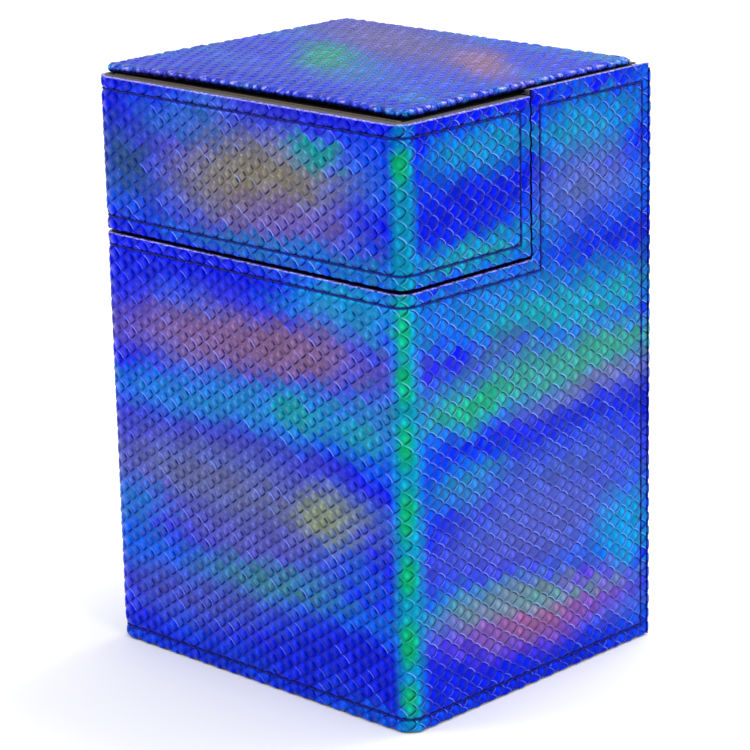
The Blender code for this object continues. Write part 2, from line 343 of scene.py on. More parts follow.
def emboss(sheet, outline, stitch_rows, place, edge_radius=0.18):
    """Press the scales and the stitch grooves into a flat sheet, round its rim and lay it in place."""
    mesh = sheet.data
    co = read_points(mesh)
    s, t = co[:, 0], co[:, 1]
    face_side = co[:, 2] > -0.01
    a, b = scale_coordinates(s, t)
    mesh.uv_layers[0].name = "sheet"
    keep_map(mesh, "sheet", s, t)
    keep_map(mesh, "scales", a, b)
    relief = sizes().relief / MM * scale_height(a, b)
    groove = np.zeros(len(s))
    for row in stitch_rows:
        away = segment_distance(s, t, row)
        groove = np.maximum(groove, np.exp(-((away / 0.55) ** 2)))
        relief = relief * (1 - 0.8 * np.exp(-((away / 0.8) ** 2)))
    inside = np.minimum(rim_distance(s, t, outline), edge_radius)
    rounding = edge_radius - np.sqrt(edge_radius**2 - (edge_radius - inside) ** 2)
    top = relief - 0.75 * sizes().relief / MM - 0.3 * groove - rounding
    # The marks keep the film's frayed edge and the stitch groove, which the finish darkens as painted
    # shade.
    keep_map(mesh, "marks", frayed(s, t, outline), groove)
    n = np.where(face_side, top, co[:, 2])
    write_points(mesh, place(s, t, n) * MM)
    select_only(sheet)
    bpy.ops.object.shade_smooth_by_angle(angle=math.radians(55))


def frayed(s, t, outline):
    """How much the film's cut lower layer shows along the upper edges of a sheet, from 0 to 1."""
    heights = (SHOULDER, SKIRT_TOP, WALL_TOP)
    upper = [edge for edge in edges_of(outline) if edge[0][1] == edge[1][1] and edge[0][1] in heights]
    away = np.min([segment_distance(s, t, edge) for edge in upper], axis=0)
    tear = 0.5 + 0.5 * np.sin(s * 5.3 + 2.0 * np.sin(t * 3.1 + s * 0.9)) * np.sin(t * 4.7 + s * 1.7)
    return np.clip(1 - away / (0.06 + 0.3 * tear), 0, 1)


def corner_folds(*starts):
    """Creases at even steps round the rounded corners that start at these places."""
    return [start + CORNER_RUN * step / 8 for start in starts for step in range(9)]


# ---------------------------------------------------------------------------------------------
# Finishes
# ---------------------------------------------------------------------------------------------


def add_node(tree, kind, settings=None, links=None):
    """Add a node, set its properties and sockets, and link sockets to its inputs."""
    node = tree.nodes.new(kind)
    for key, value in (settings or {}).items():
        if isinstance(key, str) and hasattr(node, key):
            setattr(node, key, value)
        else:
            node.inputs[key].default_value = value
    for key, socket in (links or {}).items():
        tree.links.new(socket, node.inputs[key])
    return node


def new_material(name):
    material = bpy.data.materials.new(name)
    material.use_nodes = True
    tree = material.node_tree
    tree.nodes.clear()
    output = add_node(tree, "ShaderNodeOutputMaterial")
    shader = add_node(tree, "ShaderNodeBsdfPrincipled")
    tree.links.new(shader.outputs[0], output.inputs[0])
    return material, tree, shader


def front_place(x, v):
    """A place on the front face: x from its left edge, v down from the top, to flat coordinates."""
    return FRONT_START - CORNER + x, WALL_TOP - v


def right_place(y, v):
    """A place on the right side: y back from the front face, v down from the top."""
    return RIGHT_START - CORNER + y, WALL_TOP - v


# The painted sheens of the holographic film, laid in where its reflections fall.  Each is a soft patch:
# place, half width, half height, tilt in degrees, colour, strength, and how far it breaks up into single
# scales.
FRONT_SHEENS = (
    (40, 26, 44, 7, 0, "#0B22E0", 0.7, 0.4),
    (46, 16, 28, 12, 0, "#6E6FA6", 0.85, 0.2),
    (47, 16, 19, 8, -6, "#8C8674", 0.9, 0.2),
    (56, 24, 18, 5, 0, "#7A62AC", 0.7, 0.3),
    (63, 8, 8, 3.5, 0, "#18A0A8", 0.8, 0.9),
    (26, 7, 12, 4, 0, "#1E6CC8", 0.7, 0.8),
    (7, 17, 9, 8, 0, "#2A568E", 0.8, 0.4),
    (58, 30, 36, 2.6, 0, "#1C78CC", 0.8, 0.9),
    (74, 39, 18, 6, 0, "#129ADA", 0.85, 0.8),
    (18, 41, 18, 4, 0, "#0B22E0", 0.7, 0.3),
    (45, 52, 40, 8.5, -2, "#6460B4", 0.85, 0.2),
    (40, 51, 33, 5.5, -3, "#8A6498", 0.85, 0.2),
    (57, 50, 14, 5, -3, "#8A6690", 0.7, 0.2),
    (45, 65, 46, 6, -5, "#2088D8", 0.85, 0.8),
    (58, 64, 8, 3.5, 0, "#18A0B4", 0.85, 0.8),
    (75, 64, 7, 3.5, 0, "#18A0C4", 0.8, 0.8),
    (32, 72.5, 30, 4, 0, "#3634CC", 0.85, 0.2),
    (34, 83, 42, 9, 0, "#686CA4", 0.9, 0.2),
    (64, 85, 10, 6, -8, "#8C9A7E", 0.95, 0.2),
    (42, 94, 28, 6, 0, "#6264B8", 0.75, 0.3),
    (8, 92, 11, 6, 0, "#1C74D8", 0.8, 0.8),
    (72, 94, 12, 8, 0, "#1C66E0", 0.6, 0.8),
    (46, 102, 22, 5, -4, "#3E8CA4", 0.85, 0.6),
    (28, 110, 30, 6, -3, "#4C50BC", 0.8, 0.3),
    (66, 114, 22, 7, 0, "#0A24E4", 0.9, 0.2),
    (30, 121, 44, 3.5, 0, "#0C2CE4", 0.7, 0.5),
)
RIGHT_SHEENS = (
    (24, 9, 16, 6, 0, "#1092C4", 0.9, 0.9),
    (20, 19, 22, 8, 0, "#0616DC", 0.95, 0.1),
    (22, 29, 24, 4, 0, "#1496B0", 0.9, 0.8),
    (55, 9, 16, 7, 0, "#1592C8", 0.85, 0.9),
    (54, 21, 13, 8, 0, "#5A6CBC", 0.9, 0.3),
    (62, 35, 22, 8, 0, "#0A2ADC", 0.9, 0.2),
    (34, 41, 36, 6, 0, "#1880CC", 0.8, 0.8),
    (50, 46, 32, 4.5, 0, "#18A0B4", 0.85, 0.9),
    (27, 51, 12, 3.5, 0, "#4A50B4", 0.7, 0.4),
    (44, 57.5, 46, 7, -2, "#3A98A4", 0.9, 0.6),
    (20, 60, 13, 4, -4, "#1CB088", 0.85, 0.8),
    (56, 58, 26, 4, -2, "#3CA494", 0.8, 0.9),
    (60, 65, 24, 4, -3, "#7078AC", 0.9, 0.2),
    (58, 70, 28, 4, 0, "#1426DA", 0.9, 0.2),
    (18, 76, 12, 5, 0, "#1C8CC0", 0.8, 0.9),
    (46, 80, 30, 7, 0, "#4460C8", 0.85, 0.4),
    (8, 88, 10, 9, 0, "#0A20E4", 0.9, 0.2),
    (40, 91, 30, 9, 0, "#5660C4", 0.9, 0.3),
    (67, 99, 9, 10, 0, "#0E98E0", 0.9, 0.8),
    (26, 103, 24, 4.5, 4, "#2C9CAC", 0.85, 0.8),
    (38, 109.5, 25, 7, 6, "#9A609C", 1.0, 0.1),
    (40, 106.5, 20, 3, 7, "#5CA0A0", 0.8, 0.6),
    (9, 117, 12, 8, 0, "#0A22E4", 0.9, 0.2),
    (50, 122, 34, 4, 0, "#0C2CE4", 0.8, 0.3),
)


def leatherette_material():
    """Polyurethane leatherette: a holographic film pressed with scales and lacquered.

    It gives a deep blue ground with cyan, green and violet painted sheens that change from scale to
    scale, painted shade under the scales' free edges, in the stitch grooves and under the top panel's
    roll, and painted highlights on the scales and on the crests of the top panel's puckers.
    """
    material, tree, shader = new_material("holographic_pressed_leatherette")
    sheet = add_node(tree, "ShaderNodeUVMap", {"uv_map": "sheet"}).outputs[0]
    scales = add_node(tree, "ShaderNodeUVMap", {"uv_map": "scales"}).outputs[0]
    along = add_node(tree, "ShaderNodeSeparateXYZ", links={0: sheet}).outputs[0]

    # Each scale has its own steady random numbers.
    cell = add_node(tree, "ShaderNodeVectorMath", {"operation": "FLOOR"}, {0: scales}).outputs[0]
    part = add_node(tree, "ShaderNodeVectorMath", {"operation": "FRACTION"}, {0: scales}).outputs[0]
    dice = add_node(tree, "ShaderNodeTexWhiteNoise", {"noise_dimensions": "2D"}, {"Vector": cell})
    chance, luck = dice.outputs[0], dice.outputs[1]

    # The film's slow drift, and how each scale's own tilt and swell move the colour it shows.
    settings = {"noise_dimensions": "2D", "Scale": 0.05, "Detail": 2.0}
    drift = add_node(tree, "ShaderNodeTexNoise", settings, {"Vector": sheet}).outputs[1]
    loose = sheet
    for source, reach in ((drift, (9, 5, 0)), (luck, (3, 1.6, 0)), (part, (4, 2.4, 0))):
        settings = {"operation": "MULTIPLY_ADD", 1: reach, 2: [-0.5 * k for k in reach]}
        moved = add_node(tree, "ShaderNodeVectorMath", settings, {0: source}).outputs[0]
        links = {0: loose, 1: moved}
        loose = add_node(tree, "ShaderNodeVectorMath", {"operation": "ADD"}, links).outputs[0]
    settings = {"operation": "MULTIPLY", 1: (0.022, 0.075, 0)}
    stretched = add_node(tree, "ShaderNodeVectorMath", settings, {0: loose}).outputs[0]
    settings = {"noise_dimensions": "2D", "Scale": 1.0, "Detail": 1.5}
    bands = add_node(tree, "ShaderNodeTexNoise", settings, {"Vector": stretched}).outputs[0]
    film = add_node(tree, "ShaderNodeValToRGB", links={0: bands})
    stops = (
        (0.30, "#2A30CC"), (0.40, "#0A20E8"), (0.47, "#1262E6"), (0.53, "#12A0D0"), (0.57, "#18B89C"),
        (0.61, "#1A78D8"), (0.66, "#3C3CD0"), (0.72, "#6A6CB4"), (0.80, "#905F9C"),
    )
    ramp = film.color_ramp
    for position, code in stops:
        ramp.elements.new(position).color = to_linear(code)
    ramp.elements.remove(ramp.elements[0])
    ramp.elements.remove(ramp.elements[-1])

    # Faces that carry their own sheens have a quieter ground.
    shares = []
    for value, low, high in (
        (bands, 0.42, 0.62), (along, LEFT_END - 8, FRONT_START), (along, WRAP_END, WRAP_END + 8)
    ):
        settings = {"From Min": low, "From Max": high}
        shares.append(add_node(tree, "ShaderNodeMapRange", settings, {"Value": value}).outputs[0])
    mixed, faced, past = shares
    settings = {"data_type": "RGBA", 6: to_linear(colours().deep), 7: to_linear(colours().azure)}
    ground = add_node(tree, "ShaderNodeMix", settings, {0: mixed}).outputs[2]
    quiet = add_node(tree, "ShaderNodeMath", {"operation": "SUBTRACT"}, {0: faced, 1: past}).outputs[0]
    links = {0: quiet, 6: film.outputs[0], 7: ground}
    colour = add_node(tree, "ShaderNodeMix", {"data_type": "RGBA"}, links).outputs[2]

    # Each painted sheen is laid on.  Those of the faces move with the film, the corner's stay straight.
    placed = [(loose, front_place(x, v), *rest) for x, v, *rest in FRONT_SHEENS]
    placed += [(loose, right_place(y, v), *rest) for y, v, *rest in RIGHT_SHEENS]
    placed += [(loose, *sheen) for sheen in top_sheens()]
    placed += [(sheet, *sheen) for sheen in corner_sheens()]
    for base, place, half_width, half_height, tilt, code, strength, broken in placed:
        settings = {
            "vector_type": "TEXTURE",
            "Location": (*place, 0),
            "Rotation": (0, 0, math.radians(-tilt)),
            "Scale": (half_width * SPREAD, half_height * SPREAD, 1),
        }
        spread = add_node(tree, "ShaderNodeMapping", settings, {"Vector": base}).outputs[0]
        settings = {"gradient_type": "SPHERICAL"}
        blob = add_node(tree, "ShaderNodeTexGradient", settings, {0: spread}).outputs[1]
        soft = mask(tree, (blob, 0.0, 0.9, 0.0, strength * (1 + 0.5 * broken)))
        settings = {"operation": "MULTIPLY_ADD", 1: -0.5 * broken, "use_clamp": True}
        flecked = add_node(tree, "ShaderNodeMath", settings, {0: chance, 2: soft}).outputs[0]
        settings = {"data_type": "RGBA", 7: to_linear(code)}
        colour = add_node(tree, "ShaderNodeMix", settings, {0: flecked, 6: colour}).outputs[2]

    # Painted light and shade on the scales: on the sides the painted light falls along the other free
    # edge of the scales, and on the top along them.
    side = mask(tree, (along, FRONT_END, RIGHT_START))
    top = mask(tree, (along, TOP_MAP[0] - 60, TOP_MAP[0] - 55))
    height, dark, bright, painted_crown_light = scale_relief_and_painted_light(tree, part, luck, side, top)
    marks = add_node(tree, "ShaderNodeAttribute", {"attribute_name": "marks"}).outputs["Vector"]
    marks = add_node(tree, "ShaderNodeSeparateXYZ", links={0: marks}).outputs
    # Painted glints on the scales' edges, mixed in as a pale blue.
    painted_glint = mask(tree, (bright,), (chance, -0.6, 1.2, 0.1, 0.75))
    settings = {"data_type": "RGBA", 7: to_linear("#7C94FF")}
    colour = add_node(tree, "ShaderNodeMix", settings, {0: painted_glint, 6: colour}).outputs[2]
    # Painted shade: the colour is darkened towards navy under the scales' free edges.
    settings = {"data_type": "RGBA", 6: (1, 1, 1, 1), 7: to_linear("#50549A")}
    shade = add_node(tree, "ShaderNodeMix", settings, {0: dark}).outputs[2]
    settings, links = {"operation": "MULTIPLY"}, {0: colour, 1: shade}
    colour = add_node(tree, "ShaderNodeVectorMath", settings, links).outputs[0]
    # Each scale is made a little lighter or darker at random as painted light of its tilt, and the
    # painted crown and edge highlights are added.
    level = mask(tree, (chance, -0.3, 1.3, 0.60, 0.84))
    for light, gain in ((painted_crown_light, 0.6), (bright, 0.7)):
        settings = {"operation": "MULTIPLY_ADD", 1: gain}
        level = add_node(tree, "ShaderNodeMath", settings, {0: light, 2: level}).outputs[0]
    settings, links = {"operation": "SCALE"}, {0: colour, 3: level}
    colour = add_node(tree, "ShaderNodeVectorMath", settings, links).outputs[0]
    # Painted shade in the stitch grooves and under the top panel's roll and creases; the film's torn edge
    # on the walls, and a painted highlight on the crests of the top panel's puckers.
    groove = mask(tree, (marks[1], 0.45, 1.0, 0.0, 0.85))
    torn_edge_and_crest_light = mask(tree, (marks[0], 0.2, 0.9, 0.0, 0.7))
    for share, code in ((groove, "#020850"), (torn_edge_and_crest_light, "#A9A4F2")):
        settings = {"data_type": "RGBA", 7: to_linear(code)}
        colour = add_node(tree, "ShaderNodeMix", settings, {0: share, 6: colour}).outputs[2]

    settings = {"noise_dimensions": "2D", "Scale": 2.2, "Detail": 3.0}
    grain = add_node(tree, "ShaderNodeTexNoise", settings, {"Vector": sheet}).outputs[0]
    settings = {"operation": "MULTIPLY_ADD", 1: 0.3}
    fine = add_node(tree, "ShaderNodeMath", settings, {0: grain, 2: height}).outputs[0]
    settings = {"Strength": 0.8, "Distance": 0.3 * MM}
    bump = add_node(tree, "ShaderNodeBump", settings, {"Height": fine}).outputs[0]
    settings = {"To Min": 0.30, "To Max": 0.50}
    rough = add_node(tree, "ShaderNodeMapRange", settings, {"Value": grain}).outputs[0]
    tree.links.new(colour, shader.inputs["Base Color"])
    tree.links.new(rough, shader.inputs["Roughness"])
    tree.links.new(bump, shader.inputs["Normal"])
    shader.inputs["Metallic"].default_value = 0.9
    shader.inputs["IOR"].default_value = 1.5
    shader.inputs["Specular IOR Level"].default_value = 0.05
    return material


def mask(tree, *steps):
    """Multiply soft steps of values into one share.

    A step is a value, the places where it starts and ends, and its levels there if they are not 0
    and 1.  A value with no places is multiplied in as it is.
    """
    share = None
    for value, *places in steps:
        if places:
            names = ("From Min", "From Max", "To Min", "To Max")
            settings = {"interpolation_type": "SMOOTHSTEP", **dict(zip(names, places))}
            value = add_node(tree, "ShaderNodeMapRange", settings, {"Value": value}).outputs[0]
        if share:
            links = {0: share, 1: value}
            value = add_node(tree, "ShaderNodeMath", {"operation": "MULTIPLY"}, links).outputs[0]
        share = value
    return share


def ridge(value, start, full, fall, end):
    """The steps of a mask that rises from start to full, stays level and falls from fall to end."""
    return (value, start, full), (value, fall, end, 1.0, 0.0)


def bump_about(tree, value, middle, half):
    """The step of a mask that is 1 at the middle and falls softly to 0 at half away from it."""
    settings = {"operation": "SUBTRACT", 1: middle}
    off = add_node(tree, "ShaderNodeMath", settings, {0: value}).outputs[0]
    away = add_node(tree, "ShaderNodeMath", {"operation": "ABSOLUTE"}, {0: off}).outputs[0]
    return away, 0.0, half, 1.0, 0.0


def blend_three(tree, front, side, top, on_side, on_top):
    """Take a value from the front, the sides or the top."""
    value = front
    for share, other in ((on_side, side), (on_top, top)):
        links = {0: share, 2: value, 3: other}
        value = add_node(tree, "ShaderNodeMix", {"data_type": "FLOAT"}, links).outputs[0]
    return value


def scale_relief_and_painted_light(tree, part, dice, side, top):
    """Height of the pressed scales, the painted shade under their free edges and the painted highlights
    on their crowns and edges.
    """
    a, b, _ = add_node(tree, "ShaderNodeSeparateXYZ", links={0: part}).outputs
    luck = add_node(tree, "ShaderNodeSeparateXYZ", links={0: dice}).outputs
    across = add_node(tree, "ShaderNodeMath", {"operation": "ADD"}, {0: a, 1: b}).outputs[0]
    along = add_node(tree, "ShaderNodeMath", {"operation": "SUBTRACT"}, {0: a, 1: b}).outputs[0]
    height = mask(tree, *ridge(a, 0, 0.55, 0.84, 1), *ridge(b, 0, 0.16, 0.45, 1))

    # Front: painted shade, a thin dark line under the lower free edge and a broad shade at the upper one,
    # near the tip.
    low_edge, low_span = ridge(a, 0.84, 0.95, 1.0, 1.01), ridge(b, 0.0, 0.25, 0.7, 1.0)
    low_line = mask(tree, *low_edge, *low_span, (luck[0], 0.0, 1.0, 0.3, 1.0))
    tip_edge, tip_span = ridge(b, -0.1, 0.0, 0.06, 0.2), ridge(a, 0.2, 0.55, 0.8, 1.0)
    tip_shade = mask(tree, *tip_edge, *tip_span, (luck[1], 0.1, 1.0, 0.0, 0.9))
    # Sides: painted shade, a thin dark line over the upper free edge and a broad shade inside the lower
    # one.
    high_edge, high_span = ridge(b, -0.1, 0.0, 0.04, 0.13), ridge(a, 0.0, 0.2, 0.75, 1.0)
    high_line = mask(tree, *high_edge, *high_span, (luck[0], 0.0, 1.0, 0.3, 1.0))
    inner_edge, inner_span = ridge(a, 0.70, 0.84, 0.92, 1.0), ridge(b, 0.05, 0.3, 0.6, 0.9)
    low_shade = mask(tree, *inner_edge, *inner_span, (luck[1], 0.0, 0.9, 0.2, 0.9))
    # Painted highlights: along the root of each scale's upper side and, on the sides, of its lower side
    # too.
    root_edge, root_span = ridge(b, 0.86, 0.92, 0.96, 1.0), ridge(a, 0.0, 0.15, 0.85, 1.0)
    high_light = mask(tree, *root_edge, *root_span, (luck[1], 0.1, 1.0, 0.15, 0.8))
    foot_edge, foot_span = ridge(a, 0.0, 0.04, 0.07, 0.13), ridge(b, 0.1, 0.3, 0.7, 0.95)
    low_light = mask(tree, *foot_edge, *foot_span, (luck[2], 0.3, 1.0, 0.0, 0.6))

    stronger = []
    for one, other in ((low_line, tip_shade), (high_line, low_shade), (high_light, low_light)):
        links = {0: one, 1: other}
        stronger.append(add_node(tree, "ShaderNodeMath", {"operation": "MAXIMUM"}, links).outputs[0])
    front_dark, side_dark, side_light = stronger
    top_dark = mask(tree, (low_line,), (luck[1], 0.0, 1.0, 0.3, 0.7))
    dark = blend_three(tree, front_dark, side_dark, top_dark, side, top)

    # Painted highlights on the crowns: a spot on the front and sides, a streak along each scale on the
    # top.
    spot_length, spot_height = bump_about(tree, along, 0.0, 0.42), bump_about(tree, across, 0.95, 0.75)
    spot = mask(tree, spot_length, spot_height, (luck[2], 0.0, 1.0, 0.15, 1.0))
    streak_height, streak_length = bump_about(tree, across, 1.0, 0.34), bump_about(tree, along, 0.0, 0.9)
    streak = mask(tree, streak_height, streak_length, (luck[2], 0.0, 1.0, 0.25, 0.8))
    painted_crown_light = blend_three(tree, spot, spot, streak, side, top)

    # Painted edge highlights for the front, the sides and the top.
    front_light = mask(tree, (high_light,), (luck[0], 0.35, 0.85, 0.0, 1.0))
    top_light = mask(tree, (streak,), (luck[1], 0.2, 1.0, 0.2, 0.7))
    bright = blend_three(tree, front_light, side_light, top_light, side, top)
    return height, dark, bright, painted_crown_light


def corner_sheens():
    """The painted sheen down the rounded corner between the front and the right side: a bright strip of
    reflection laid into the colour.
    """
    s = (FRONT_END + RIGHT_START) / 2
    strip = [
        ((s + 0.5, 108), 2.6, 20, 0, "#0E88A8", 0.9, 0.5),
        ((s + 0.5, 44), 3.2, 62, 0, "#109CC4", 1.0, 0.3),
    ]
    for t, half in ((116, 4), (84, 7), (73, 4), (61, 5), (46, 5.5), (33, 4), (19, 5), (7, 4)):
        strip.append(((s, t), 1.8, half, 0, "#0EB87C", 0.9, 0.8))
    return strip


# The top panel's sheet lies past the walls' in flat coordinates, so that one finish serves both.
TOP_MAP = (WRAP_END + 2 * HALF_WIDTH + 80.0, 60.0)


def top_sheens():
    # Painted sheens of the top panel: its lighter lavender-blue ground and its patches stand for
    # reflected light.
    s, t = TOP_MAP
    return [
        ((s, t), 60, 50, 0, "#3A50DA", 1.0, 0.1),
        ((s - 12, t + 19), 34, 12, 24, "#6E66A8", 0.9, 0.1),
        ((s - 2, t - 7), 20, 8, 34, "#2E84B8", 0.8, 0.2),
        ((s - 12, t - 2), 15, 6, 38, "#1FA084", 0.9, 0.3),
        ((s + 20, t + 11), 15, 5.5, 38, "#94709A", 0.95, 0.1),
        ((s, t - 31), 50, 5, 0, "#1C34D4", 0.8, 0.2),
    ]


def mottle(tree, scale, detail):
    """A noise that stays with the piece.  Its grain is about one over scale, in metres."""
    place = add_node(tree, "ShaderNodeTexCoord").outputs["Object"]
    settings = {"Scale": scale, "Detail": detail}
    return add_node(tree, "ShaderNodeTexNoise", settings, {"Vector": place}).outputs[0]


def dress(tree, shader, share, tones, relief=None, strength=0.4, distance=0.1 * MM, **even):
    """Mix two tones by a share for a shader's colour, and set its relief and its even values."""
    settings = {"data_type": "RGBA", 6: to_linear(tones[0]), 7: to_linear(tones[1])}
    colour = add_node(tree, "ShaderNodeMix", settings, {0: share}).outputs[2]
    tree.links.new(colour, shader.inputs["Base Color"])
    if relief:
        settings = {"Strength": strength, "Distance": distance}
        bump = add_node(tree, "ShaderNodeBump", settings, {"Height": relief}).outputs[0]
        tree.links.new(bump, shader.inputs["Normal"])
    for name, value in even.items():
        shader.inputs[name.replace("_", " ")].default_value = value


def paint_material():
    """Edge paint: pigmented acrylic brushed on the cut board, nearly matt, faintly streaked."""
    material, tree, shader = new_material("brushed_edge_paint")
    streak = mottle(tree, 900.0, 3.0)
    dress(tree, shader, streak, (colours().edge, "#363436"), streak, Roughness=0.62)
    return material


def cut_paint_material():
    """Edge paint where the lid parts from the body: navy, almost black, a little shinier."""
    material, tree, shader = new_material("navy_edge_paint")
    streak = mottle(tree, 700.0, 2.0)
    tones = ("#04042A", "#0A0A3E")
    dress(tree, shader, streak, tones, streak, 0.3, Roughness=0.6, Specular_IOR_Level=0.15)
    return material


def black_paper_material():
    """Black lining paper over a board, its black partly painted shade under the top panel, with the
    board's own brown-grey left at the front edge.
    """
    material, tree, shader = new_material("black_lining_paper")
    place = add_node(tree, "ShaderNodeTexCoord").outputs["Object"]
    depth = add_node(tree, "ShaderNodeSeparateXYZ", links={0: place}).outputs[1]
    front = float(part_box("lid_base")[0].y)
    links = {0: mask(tree, (depth, front + 0.5 * MM, front + 0.8 * MM))}
    fibre = mottle(tree, 900.0, 3.0)
    # The black stands partly for the lining and partly as painted shade in the gap under the top panel.
    for socket, first, second in ((6, "#5E5042", "#7A6A56"), (7, "#060607", "#121214")):
        settings = {"data_type": "RGBA", 6: to_linear(first), 7: to_linear(second)}
        links[socket] = add_node(tree, "ShaderNodeMix", settings, {0: fibre}).outputs[2]
    colour = add_node(tree, "ShaderNodeMix", {"data_type": "RGBA"}, links).outputs[2]
    tree.links.new(colour, shader.inputs["Base Color"])
    shader.inputs["Roughness"].default_value = 0.9
    shader.inputs["Specular IOR Level"].default_value = 0.15
    return material


def film_material():
    """Cut edge of the holographic film: a bright violet hairline where the lacquer is sliced."""
    material, tree, shader = new_material("cut_film_edge")
    fleck = mask(tree, (mottle(tree, 1400.0, 2.0), 0.38, 0.62))
    dress(tree, shader, fleck, ("#1C2CC4", colours().film), Roughness=0.4)
    return material


def thread_material():
    """Bonded polyester thread: two twisted plies with a waxy shine."""
    material, tree, shader = new_material("bonded_polyester_thread")
    place = add_node(tree, "ShaderNodeTexCoord").outputs["Object"]
    settings = {"Scale": 1300.0, "Distortion": 1.0}
    ply = add_node(tree, "ShaderNodeTexWave", settings, {"Vector": place}).outputs[1]
    tones = (colours().thread, "#101C8C")
    dress(tree, shader, ply, tones, ply, 0.5, 0.05 * MM, Roughness=0.55, Specular_IOR_Level=0.15)
    return material


def suede_material():
    """Microfibre suede: a brushed black nap, lighter where the fibres lie over."""
    material, tree, shader = new_material("brushed_microfibre_suede")
    nap, lie = mottle(tree, 2600.0, 2.0), mottle(tree, 70.0, 3.0)
    tones = (colours().suede, "#26262B")
    dress(tree, shader, lie, tones, nap, 0.5, Roughness=0.95, Sheen_Weight=0.25, Sheen_Roughness=0.5)
    return material


def board_material():
    """Grey board: pressed recycled fibre, matt, with small dark and light flecks."""
    material, tree, shader = new_material("pressed_grey_board")
    fibre = mottle(tree, 1100.0, 4.0)
    dress(tree, shader, fibre, ("#5C5852", colours().board), fibre, Roughness=0.9)
    return material


def nickel_material():
    """Nickel plate on a sintered magnet: bright, faintly mottled by handling."""
    material, tree, shader = new_material("plated_nickel")
    handled = mottle(tree, 300.0, 3.0)
    settings = {"To Min": 0.18, "To Max": 0.36}
    rough = add_node(tree, "ShaderNodeMapRange", settings, {"Value": handled}).outputs[0]
    tree.links.new(rough, shader.inputs["Roughness"])
    dress(tree, shader, handled, ("#B9B4AB", "#CFCBC4"), Metallic=1.0)
    return material


MAKERS = {
    "leatherette": leatherette_material,
    "paint": paint_material,
    "cut_paint": cut_paint_material,
    "black_paper": black_paper_material,
    "film": film_material,
    "thread": thread_material,
    "suede": suede_material,
    "board": board_material,
    "nickel": nickel_material,
}
made_finishes = {}


def finish(piece, *kinds):
    """Put finishes on a piece, in the order of its slots."""
    piece.data.materials.clear()
    for kind in kinds:
        if kind not in made_finishes:
            made_finishes[kind] = MAKERS[kind]()
        piece.data.materials.append(made_finishes[kind])
    return piece


def mark_rim(sheet):
    """Give the upper rim of a flat sheet the cut film's finish, and its other rims the dark paint."""
    for polygon in sheet.data.polygons:
        if abs(polygon.normal.z) < 0.5:
            polygon.material_index = 1 if polygon.normal.y > 0.5 else 2


# ---------------------------------------------------------------------------------------------
# The pieces
# ---------------------------------------------------------------------------------------------


def seam_places():
    """Where the cut between lid and upright crosses the wrap, on the left and on the right."""
    left = REAR - UPRIGHT_FRONT
    return left, WRAP_END - left


def body_rows():
    """The rows of stitches in the body's wrap."""
    margin = sizes().stitch_margin / MM
    left, right = seam_places()
    low, high, ledge = margin, WALL_TOP - margin, SHOULDER - margin
    rows = []
    for rear, upright in ((margin, left - margin), (WRAP_END - margin, right + margin)):
        rows.append(((rear, low), (rear, high)))
        rows.append(((rear, high), (upright, high)))
        rows.append(((upright, high), (upright, ledge)))
    rows.append(((left - margin, ledge), (right + margin, ledge)))
    rows.append(((margin, low), (WRAP_END - margin, low)))
    return rows


def skirt_rows():
    margin = sizes().stitch_margin / MM
    left = REAR - SKIRT_REAR + margin
    right = WRAP_END - left
    return edges_of(rectangle((left, SKIRT_BOTTOM + margin), (right, SKIRT_TOP - margin)))


def back_rows():
    margin = sizes().stitch_margin / MM
    left, right = WRAP_END + margin, WRAP_END + 2 * HALF_WIDTH - margin
    return edges_of(rectangle((left, margin), (right, WALL_TOP - margin)))


def nearby(rows, low, high):
    """The rows that come within the groove's reach of a sheet."""
    reach = 3.0
    near = []
    for row in rows:
        spans = zip(zip(*row), low, high)
        if all(max(span) > start - reach and min(span) < end + reach for span, start, end in spans):
            near.append(row)
    return near


class DECKBOX_OT_body_covers(bpy.types.Operator):
    """Wrap the leatherette round the body: the front with its rounded corners, and both sides."""

    bl_idname = "deck_box.body_covers"
    bl_label = "Body covers"

    def execute(self, context):
        left, right = seam_places()
        start = REAR - float(BODY_HIGH[1]) - 0.2
        end = WRAP_END - start
        front_start, front_end = LEFT_END - PAST, RIGHT_START + PAST
        left_outline = [(start, FOOT), (LEFT_END + PAST, FOOT), (LEFT_END + PAST, SHOULDER)]
        left_outline += [(left, SHOULDER), (left, WALL_TOP), (start, WALL_TOP)]
        right_outline = [(RIGHT_START - PAST, FOOT), (end, FOOT), (end, WALL_TOP)]
        right_outline += [(right, WALL_TOP), (right, SHOULDER), (RIGHT_START - PAST, SHOULDER)]
        front_outline = rectangle((front_start, FOOT), (front_end, SHOULDER))
        # Name, where the sheet starts and ends, its height, the start and end of its notch, its outline.
        plans = (
            ("body_front_cover", LEFT_END, RIGHT_START, SHOULDER, None, front_outline),
            ("body_left_cover", start, LEFT_END, WALL_TOP, (left, LEFT_END + 1), left_outline),
            ("body_right_cover", RIGHT_START, end, WALL_TOP, (RIGHT_START - 1, right), right_outline),
        )
        for name, start, end, top, notch, outline in plans:
            low, high = (start, FOOT), (end, top)
            area = (end - start) * (top - FOOT)
            notches, folds = [], corner_folds(LEFT_END, FRONT_END)
            if notch:
                notches, folds = [((notch[0], SHOULDER), (notch[1], top + 1))], ()
                area -= (SIDE_RUN - left) * (WALL_TOP - SHOULDER)
            sheet = cut_flat(name, low, high, notches, folds)
            finish(sheet, "leatherette", "film", "cut_paint")
            mark_rim(sheet)
            emboss(sheet, outline, nearby(body_rows(), low, high), on_wall)
            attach(sheet, "box")
            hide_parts("body_cover")
        return {"FINISHED"}


